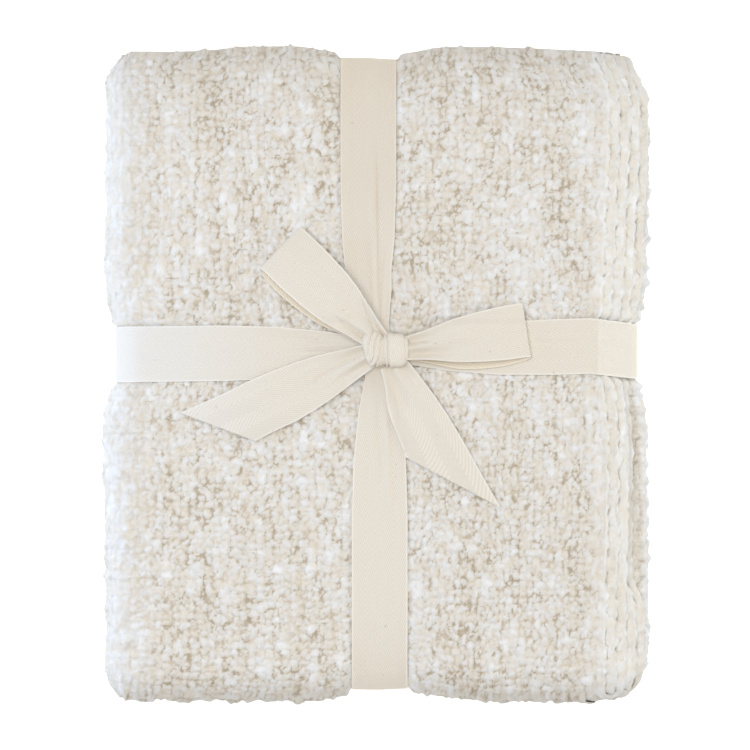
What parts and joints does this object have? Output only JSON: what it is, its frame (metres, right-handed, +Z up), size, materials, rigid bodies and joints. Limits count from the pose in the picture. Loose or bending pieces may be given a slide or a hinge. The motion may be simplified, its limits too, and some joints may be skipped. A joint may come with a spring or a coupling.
{
  "type": "folded boucle throw",
  "caption": "Thick woven boucle throw blanket, folded flat into a stack and tied crosswise with a twill tape in a bow.",
  "frame": {"origin": "middle of the folded throw on the surface that it lies on", "axes": "+Z up, +Y along the folded throw's longer side, +X across it towards its loose ends"},
  "size_m": [0.3156, 0.3747, 0.0698],
  "materials": {
    "throw": "woven boucle, off-white",
    "tie": "herringbone cotton twill, natural cream"
  },
  "bodies": {
    "root": {"throw": "throw", "tie": "tie"}
  },
  "joints": []
}
